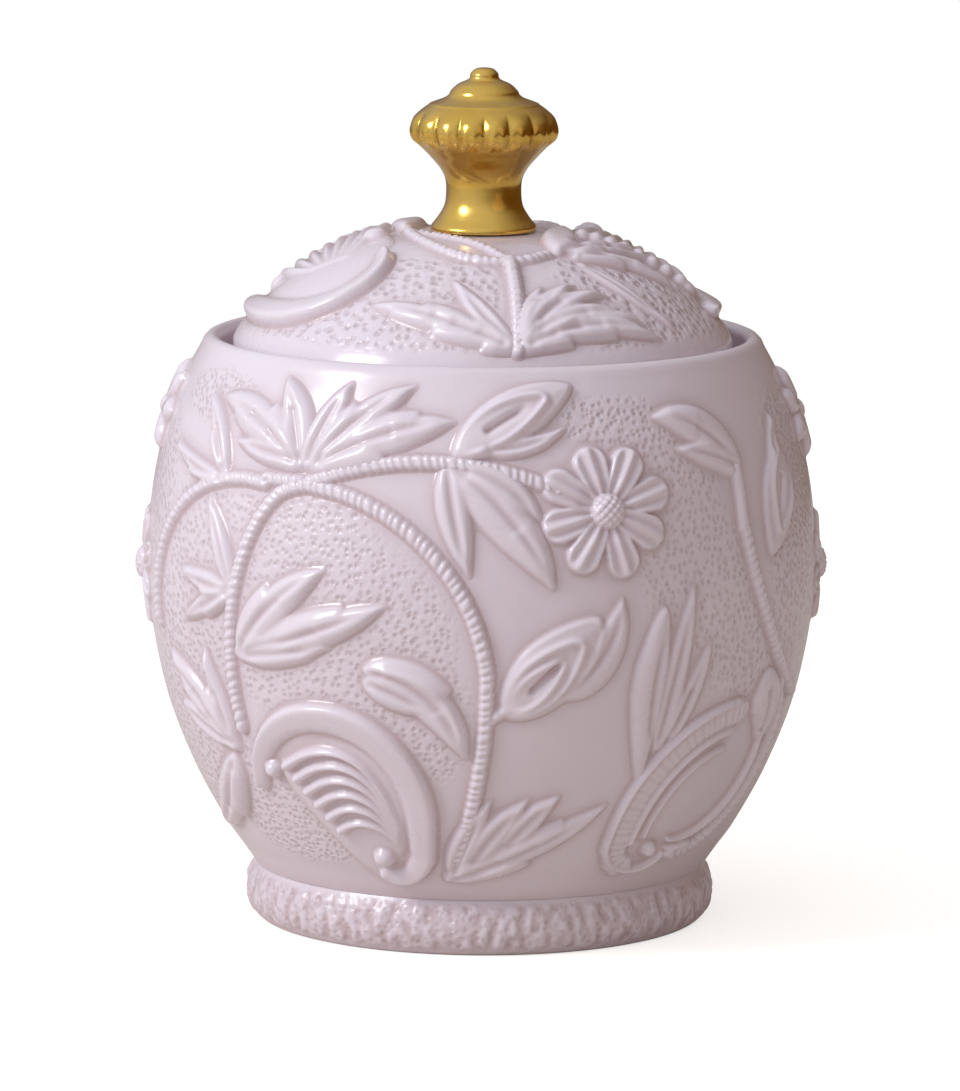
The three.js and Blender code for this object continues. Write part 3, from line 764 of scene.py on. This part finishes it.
jar_sprigs = build_sprigs(WALL, SPRIGS, "jar")
lid_sprigs = build_sprigs(DOME, LID_SPRIGS, "lid")


# ---- The turned pieces ----
def nearness(surface, x, y):
    """How near each chart point is to raised ornament, 0 to 1, from the sprigs on both faces."""
    out = np.zeros(x.shape)
    for owner, relief in reliefs:
        if owner is not surface:
            continue
        cover = box_blur(box_blur((relief.height > 0).astype(float), 4), 5)
        for turned in (False, True):
            if surface is WALL:
                half = math.pi * REFERENCE_RADIUS
                cx = x + half if turned else x
                cx = (cx - relief.low[0]) % (2 * half) + relief.low[0]
                cy = y
            else:
                cx = -x if turned else x
                cy = -y if turned else y
            col = (cx - relief.low[0]) / relief.grid
            row = (cy - relief.low[1]) / relief.grid
            inside = (col >= 0) & (row >= 0) & (col < cover.shape[1] - 1) & (row < cover.shape[0] - 1)
            value = cover[np.clip(row, 0, cover.shape[0] - 1).astype(int),
                          np.clip(col, 0, cover.shape[1] - 1).astype(int)]
            out = np.maximum(out, np.where(inside, value, 0))
    return out


# Patches of stippled ground as (degrees, height, degrees of reach, height of reach).
STIPPLE_AREAS = [
    (-30, 60, 17, 13), (-17, 51, 13, 15), (-14, 40, 13, 12), (-32, 45, 14, 7), (-56, 63, 11, 15),
    (-62, 48, 15, 12), (-50, 26, 18, 8), (-40, 20, 18, 6), (-70, 30, 16, 14), (33, 78, 14, 7),
    (37, 66, 10, 14), (44, 57, 9, 14), (24, 86, 12, 3.5), (55, 47, 9, 10), (70, 62, 12, 18),
    (75, 80, 14, 8), (-80, 70, 13, 14), (-42, 70, 6, 5), (86, 44, 12, 14), (12, 88, 8, 3),
    (-28, 71, 9, 3.5), (-60, 87, 14, 4), (70, 30, 10, 8)]


def stipple_mask(turn, height):
    """Where the ground is stippled. The pattern is the same on the front and the back."""
    degrees = face_degrees(turn)
    out = np.zeros(np.broadcast(turn, height).shape)
    for a, z, wide, tall in STIPPLE_AREAS:
        for around in (-180, 0, 180):
            far = np.hypot((degrees - a + around) / wide, (height - z) / tall)
            out = np.maximum(out, soft_step(1.15, 0.8, far))
    return out


def make_bowl():
    """The bowl: its wall, lip and seat, its inside and the recess under it."""
    outside = WALL.line[::3][:-1]
    inside = WALL.line - WALL.normal * WALL_THICKNESS
    inside = inside[(inside[:, 1] > INSIDE_LOW) & (inside[:, 1] < INSIDE_HIGH)][::-12]
    line = np.concatenate([outside, LIP_POINTS, SEAT_POINTS, inside, BOWL_FLOOR, UNDERSIDE])
    count = len(outside)
    turns = either_way(turns_round(SEGMENTS))
    wall_y = np.interp(outside[:, 1], WALL.line[:, 1], WALL.y)
    painted_shade = np.zeros((len(line), SEGMENTS))
    # Painted shade round the sprigs.
    painted_shade[:count] = nearness(WALL, *np.meshgrid(turns * REFERENCE_RADIUS, wall_y))
    # Painted shade above the foot joint and round the seat.
    painted_shade[:4] = np.maximum(painted_shade[:4], np.array([0.5, 0.35, 0.2, 0.1])[:, None])
    seat = count + len(LIP_POINTS)
    painted_shade[seat - 1:seat + 5] = 0.8
    stipple = np.zeros((len(line), SEGMENTS))
    stipple[:count] = stipple_mask(turns[None], outside[:, 1][:, None])
    stipple[:count] *= soft_step(0.75, 0.35, painted_shade[:count])
    across = np.broadcast_to(turns * REFERENCE_RADIUS, stipple.shape)
    up = np.concatenate([wall_y, np.full(len(line) - count, wall_y[-1])])
    bowl = lathe("jar_body_porcelain", line, SEGMENTS,
                 {"painted_shade": painted_shade, "stipple": stipple, "across": across, "up": up})
    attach(bowl, "jar")
    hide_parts("jar_body")
    return bowl


def make_foot():
    """The foot ring, combed with short upright marks."""
    outside = smooth_line(FOOT_OUTSIDE, 0.35)
    bore = [(FOOT_BORE, 8.7), (FOOT_BORE, 0.8), (FOOT_BORE + 0.3, 0.2)]
    line = np.concatenate([bore, outside, [(35, 9.3), (FOOT_BORE, 8.7)]])
    heights = line[:, 1]
    combed = ripple_field(heights, FOOT_SEGMENTS, 26, 7)
    lumps = ripple_field(heights * 2.2, FOOT_SEGMENTS, 12, 11)
    band = np.zeros(len(line))
    band[3:-2] = soft_step(0.3, 1.8, outside[:, 1]) * soft_step(8.7, 7.6, outside[:, 1])
    shift = (0.13 * combed + 0.12 * np.maximum(lumps, 0)) * band[:, None]
    # Painted shade on the combed band, deepest in its grooves.
    painted_shade = np.clip(0.45 - 1.3 * shift / 0.3, 0, 1) * band[:, None]
    across = np.broadcast_to(either_way(turns_round(FOOT_SEGMENTS)) * FOOT_RADIUS, shift.shape)
    foot = lathe("foot_ring_porcelain", line, FOOT_SEGMENTS,
                 {"painted_shade": painted_shade, "stipple": 0.8 * band, "across": across, "up": heights}, shift)
    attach(foot, "jar")
    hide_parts("foot_ring")
    return foot


def make_dome():
    """The lid, with its upright edge, its vent and its underside."""
    outside = DOME.line[::3]
    inside = DOME.line - DOME.normal * LID_THICKNESS
    inside = inside[(inside[:, 0] < RIM_BORE - 0.2) & (inside[:, 0] > VENT_RADIUS + 0.2)][::-10]
    rim = [(RIM_BORE, 95.5), (RIM_BORE, LID_BOTTOM + 0.3), (RIM_BORE + 0.3, LID_BOTTOM), LID_EDGE[0]]
    line = np.concatenate([LID_EDGE, outside, [(VENT_RADIUS, 110)], inside, rim])
    top = slice(len(LID_EDGE), len(LID_EDGE) + len(outside))
    radius = outside[:, 0]
    rho = np.interp(radius, DOME.line[::-1, 0], DOME.rho[::-1])[:, None]
    turns = turns_round(SEGMENTS)
    plan_x = rho * np.sin(turns)
    plan_y = -rho * np.cos(turns)
    painted_shade = np.zeros((len(line), SEGMENTS))
    # Painted shade round the sprigs.
    painted_shade[top] = nearness(DOME, plan_x, plan_y)
    # Stipple lies on the left and on the right, between the rim and the smooth crown.
    angle = face_degrees(either_way(turns))
    left_patch = soft_step(8, 3, angle) * soft_step(-80, -60, angle)
    right_patch = soft_step(22, 32, angle) + soft_step(-68, -78, angle)
    rim_band = (soft_step(38.9, 37.6, radius) * soft_step(20, 24, radius))[:, None]
    stipple = np.zeros((len(line), SEGMENTS))
    stipple[top] = np.clip(left_patch + right_patch, 0, 1) * rim_band
    stipple *= soft_step(0.75, 0.35, painted_shade)
    across = np.zeros(stipple.shape)
    across[top] = plan_x
    up = np.zeros(stipple.shape)
    up[top] = plan_y
    dome = lathe("lid_dome_porcelain", line, SEGMENTS,
                 {"painted_shade": painted_shade, "stipple": stipple, "across": across, "up": up})
    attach(dome, "lid")
    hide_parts("lid_dome")
    return dome


def make_flange():
    """The locating ring under the lid."""
    bore = FLANGE_RADIUS - FLANGE_THICKNESS
    low = FLANGE_BOTTOM + FLANGE_CHAMFER
    top = FLANGE_TOP - 0.4
    line = np.array([(bore, low), (bore + FLANGE_CHAMFER, FLANGE_BOTTOM),
                     (FLANGE_RADIUS - FLANGE_CHAMFER, FLANGE_BOTTOM), (FLANGE_RADIUS, low),
                     (FLANGE_RADIUS, top), (bore, top), (bore, low)])
    flange = lathe("lid_flange_porcelain", line, FLANGE_SEGMENTS,
                   {key: np.zeros(len(line)) for key in ("painted_shade", "stipple", "across", "up")})
    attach(flange, "lid")
    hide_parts("lid_flange")
    return flange


def make_knob():
    """The knob, with soft lobes round its belt that are ridged at their lower ends."""
    outside = smooth_line(KNOB_POINTS, 0.22) + np.array([0, KNOB_BASE])
    bore = [(0.01, KNOB_BORE_TOP), (KNOB_BORE, KNOB_BORE_TOP), (KNOB_BORE, KNOB_BASE)]
    line = np.concatenate([bore, outside])
    up = line[:, 1] - KNOB_BASE
    turns = turns_round(KNOB_SEGMENTS)
    belt = soft_step(13.2, 14.9, up) * soft_step(19.4, 17.4, up)
    belt[:len(bore)] = 0
    wave = np.abs(np.sin(KNOB_LOBES / 2 * turns + 0.25 * np.sin(3 * turns)))
    swelling = (wave ** 0.7 - 0.55)[None] * belt[:, None]
    ridges = np.cos(KNOB_LOBES * 3 * turns)[None] * belt[:, None] * soft_step(17, 15.4, up)[:, None]
    shift = 0.75 * swelling + 0.1 * ridges
    # Painted shade under the belt and in the dips between its lobes.
    under_belt = 0.5 * soft_step(7, 10, up) * soft_step(15, 12.5, up)
    painted_shade = np.clip(-1.3 * shift + under_belt[:, None], 0, 1)
    knob = lathe("knob_gilt", line, KNOB_SEGMENTS, {"painted_shade": painted_shade}, shift)
    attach(knob, "lid")
    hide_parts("knob")
    return knob


bowl = make_bowl()
foot = make_foot()
dome = make_dome()
flange = make_flange()
knob = make_knob()

# ---- Materials ----
BASE = (0.70, 0.60, 0.66, 1)
# Colour of the painted shade in the glaze's hollows and pits.
SHADE_COLOUR = (0.48, 0.34, 0.34, 1)
HIGH = (0.79, 0.71, 0.76, 1)
DULL_GOLD = (0.60, 0.35, 0.05, 1)
BRIGHT_GOLD = (0.84, 0.57, 0.15, 1)
# Colour of the painted shade on the gilding.
GOLD_SHADE_COLOUR = (0.24, 0.11, 0.015, 1)
COAT = 0.35
COAT_ROUGHNESS = 0.14


def new_material(name):
    material = bpy.data.materials.new(name)
    material.use_nodes = True
    tree = material.node_tree
    return material, tree, tree.nodes["Principled BSDF"]


def feed(tree, made, inputs):
    """Links or sets inputs of a node."""
    for key, value in inputs.items():
        if isinstance(value, bpy.types.NodeSocket):
            tree.links.new(value, made.inputs[key])
        else:
            made.inputs[key].default_value = value


def node(tree, kind, inputs=None, **settings):
    """Adds a node, and sets its options and inputs."""
    made = tree.nodes.new(kind)
    for key, value in settings.items():
        setattr(made, key, value)
    feed(tree, made, inputs or {})
    return made


def mix_colour(tree, factor, first, second):
    return node(tree, "ShaderNodeMix", {0: factor, 6: first, 7: second}, data_type="RGBA").outputs[2]


def attribute(tree, name):
    return node(tree, "ShaderNodeAttribute", attribute_name=name).outputs["Fac"]


def noise(tree, place, scale, detail):
    return node(tree, "ShaderNodeTexNoise", {"Vector": place, "Scale": scale,
                                             "Detail": detail}).outputs["Fac"]


def bump(tree, height, strength, distance, normal=None):
    inputs = {"Height": height, "Strength": strength, "Distance": distance}
    if normal is not None:
        inputs["Normal"] = normal
    return node(tree, "ShaderNodeBump", inputs).outputs[0]


def maths(tree, operation, first, second, clamp=False):
    return node(tree, "ShaderNodeMath", {0: first, 1: second}, operation=operation,
                use_clamp=clamp).outputs[0]


def porcelain(name, pit_size, pit_depth, gloss):
    """Satin glaze, with painted shade in its hollows and round the sprigs, and paler on raised parts.
    Stippled ground has pits about pit_size mm apart and pit_depth m deep; the sprigs have none."""
    material, tree, shader = new_material(name)
    place = node(tree, "ShaderNodeTexCoord").outputs["Object"]
    crevice_shade = attribute(tree, "painted_shade")
    cloud = noise(tree, place, 38.0, 3.0)
    tint = mix_colour(tree, maths(tree, "MULTIPLY", cloud, 0.9, True), BASE, HIGH)
    if not pit_size:
        tint = mix_colour(tree, maths(tree, "MULTIPLY", attribute(tree, "raised"), 0.8, True), tint, HIGH)
    # Painted shade: the glaze is mixed towards the shade colour in hollows and round the sprigs.
    tint = mix_colour(tree, maths(tree, "MULTIPLY", crevice_shade, 0.62, True), tint, SHADE_COLOUR)
    fine = noise(tree, place, 420.0, 2.0)
    uneven = noise(tree, place, 110.0, 2.0)
    normal = bump(tree, fine, 0.12, 0.0003)
    normal = bump(tree, uneven, 0.25, 0.0006, normal)
    if pit_size:
        mask = attribute(tree, "stipple")
        sheet = node(tree, "ShaderNodeCombineXYZ",
                     {"X": attribute(tree, "across"), "Y": attribute(tree, "up")}).outputs[0]
        wavy = noise(tree, sheet, 0.9, 2.0)
        cells = node(tree, "ShaderNodeTexVoronoi", {"Vector": sheet, "Scale": 1 / pit_size},
                     voronoi_dimensions="2D")
        dent = node(tree, "ShaderNodeMapRange", {"Value": cells.outputs["Distance"],
                                                 "From Max": 0.55, "To Min": -1.0, "To Max": 0.0},
                    interpolation_type="SMOOTHSTEP").outputs[0]
        uneven_pits = maths(tree, "MULTIPLY", dent, maths(tree, "MULTIPLY", wavy, 1.8))
        lumps = maths(tree, "MULTIPLY", noise(tree, sheet, 0.55, 3.0), 1.3)
        depth = maths(tree, "MULTIPLY", maths(tree, "ADD", uneven_pits, lumps), mask)
        normal = bump(tree, depth, 0.8, pit_depth, normal)
        # Painted shade in the pits.
        pit_shade = maths(tree, "MULTIPLY", maths(tree, "MULTIPLY", uneven_pits, mask), -0.4, True)
        tint = mix_colour(tree, pit_shade, tint, SHADE_COLOUR)
    wear = node(tree, "ShaderNodeMapRange", {"Value": fine, "To Min": gloss, "To Max": gloss + 0.13})
    feed(tree, shader, {"Base Color": tint, "Normal": normal, "Roughness": wear.outputs[0],
                        "Coat Weight": COAT, "Coat Roughness": COAT_ROUGHNESS})
    return material


def gilding(name):
    """Burnished gold, with painted shade in its hollows, and slightly uneven."""
    material, tree, shader = new_material(name)
    place = node(tree, "ShaderNodeTexCoord").outputs["Object"]
    cloud = noise(tree, place, 160.0, 4.0)
    tint = mix_colour(tree, cloud, DULL_GOLD, BRIGHT_GOLD)
    # Painted shade in the knob's hollows and under its belt.
    tint = mix_colour(tree, maths(tree, "MULTIPLY", attribute(tree, "painted_shade"), 0.8, True), tint, GOLD_SHADE_COLOUR)
    fine = noise(tree, place, 700.0, 3.0)
    waves = noise(tree, place, 150.0, 2.0)
    normal = bump(tree, waves, 0.3, 0.0008, bump(tree, fine, 0.15, 0.0002))
    wear = node(tree, "ShaderNodeMapRange", {"Value": cloud, "To Min": 0.12, "To Max": 0.26})
    feed(tree, shader, {"Base Color": tint, "Normal": normal, "Roughness": wear.outputs[0],
                        "Metallic": 1.0})
    return material


jar_glaze = porcelain("lilac_glaze_jar", 1.25, 0.0002, 0.25)
lid_glaze = porcelain("lilac_glaze_lid", 1.6, 0.00035, 0.2)
relief_glaze = porcelain("lilac_glaze_relief", 0, 0, 0.22)
for piece in (bowl, foot):
    piece.data.materials.append(jar_glaze)
for piece in (dome, flange):
    piece.data.materials.append(lid_glaze)
for piece in jar_sprigs + lid_sprigs:
    piece.data.materials.append(relief_glaze)
knob.data.materials.append(gilding("burnished_gold"))

# ---- Floor, light and camera ----
# Places here are in metres.
FLOOR_RADIUS = 0.6
FLOOR_CORNERS = 96
FLOOR_COLOUR = (0.71, 0.64, 0.58, 1)
FLOOR_GLOW = 0.68  # for the camera only
DIM_SIDE = (0.14, 0.075, 0.02, 1)
BRIGHT_SIDE = (0.80, 0.83, 0.91, 1)
WHITE = (1, 1, 1, 1)
LIGHT_AIM = Vector((0, 0, 0.07))
CAMERA_PLACE = Vector((-0.00025, -1.15, 0.237))
CAMERA_AIM = Vector((-0.00025, 0.0, 0.0596))
CAMERA_ROLL = math.radians(0.35)
CAMERA_LENS = 239.6

floor_mesh = bpy.data.meshes.new("floor")
floor_turns = [math.tau * number / FLOOR_CORNERS for number in range(FLOOR_CORNERS)]
floor_edge = [(FLOOR_RADIUS * math.sin(turn), FLOOR_RADIUS * math.cos(turn), 0) for turn in floor_turns]
floor_mesh.from_pydata(floor_edge, [], [tuple(reversed(range(FLOOR_CORNERS)))])
floor = put("floor", floor_mesh)
paper, tree, shader = new_material("white_paper")
shown = node(tree, "ShaderNodeLightPath").outputs["Is Camera Ray"]
glow = maths(tree, "MULTIPLY", shown, FLOOR_GLOW)
feed(tree, shader, {"Base Color": FLOOR_COLOUR, "Roughness": 0.9, "Specular IOR Level": 0.1,
                    "Emission Color": WHITE, "Emission Strength": glow})
floor_mesh.materials.append(paper)

# White to the camera. The jar is lit brightly from the upper left, and dimly from the lower right.
world = bpy.data.worlds.new("studio")
bpy.context.scene.world = world
world.use_nodes = True
tree = world.node_tree
direction = node(tree, "ShaderNodeTexCoord").outputs["Generated"]
facing = node(tree, "ShaderNodeVectorMath", {0: direction, 1: (-0.6, -0.3, 0.74)},
              operation="DOT_PRODUCT").outputs["Value"]
side = node(tree, "ShaderNodeMapRange", {"Value": facing, "From Min": -0.5, "From Max": 0.95},
            interpolation_type="SMOOTHSTEP").outputs[0]
glow = mix_colour(tree, side, DIM_SIDE, BRIGHT_SIDE)
seen = node(tree, "ShaderNodeLightPath").outputs["Is Camera Ray"]
feed(tree, tree.nodes["Background"], {"Color": mix_colour(tree, seen, glow, WHITE)})


def area_light(name, place, size, power, colour):
    light = bpy.data.lights.new(name, "AREA")
    light.shape = "DISK"
    light.size = size
    light.energy = power
    light.color = colour
    lamp = put(name, light)
    lamp.location = place
    lamp.rotation_euler = (LIGHT_AIM - Vector(place)).to_track_quat("-Z", "Y").to_euler()


area_light("key_light", (-0.79, -0.40, 0.65), 0.4, 5.2, (0.96, 0.98, 1))
area_light("fill_light", (0.9, -0.9, 0.5), 0.9, 0.5, (1, 0.66, 0.40))

camera_data = bpy.data.cameras.new("camera")
camera = put("camera", camera_data)
bpy.context.scene.camera = camera
camera_data.lens = CAMERA_LENS
camera.location = CAMERA_PLACE
look = (CAMERA_AIM - CAMERA_PLACE).to_track_quat("-Z", "Y").to_matrix().to_4x4()
camera.rotation_euler = (look @ Matrix.Rotation(CAMERA_ROLL, 4, "Z")).to_euler()
bpy.context.scene.view_settings.view_transform = "Standard"
